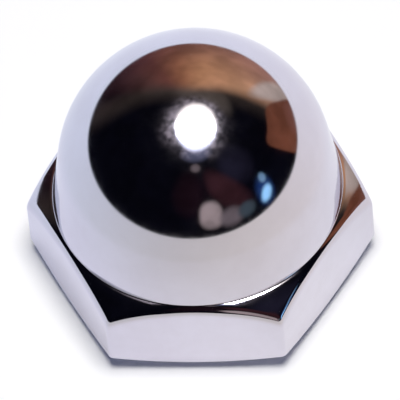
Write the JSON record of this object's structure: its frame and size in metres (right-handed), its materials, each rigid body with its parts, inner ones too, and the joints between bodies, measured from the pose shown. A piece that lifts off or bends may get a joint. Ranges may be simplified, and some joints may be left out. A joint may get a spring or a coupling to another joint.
{
  "type": "cap nut",
  "caption": "Low cap nut: a chamfered hexagon with a short tapered collar and a polished round dome over a blind threaded hole.",
  "frame": {"origin": "centre of the bearing face, on the thread's axis", "axes": "+Z along the thread's axis towards the top of the dome, one flat of the hexagon faces -Y, two corners lie along X"},
  "size_m": [0.0114, 0.01, 0.009],
  "materials": {
    "chrome_plate": "mirror-polished chrome plating"
  },
  "bodies": {
    "root": {"cap_nut": "chrome_plate"}
  },
  "joints": []
}
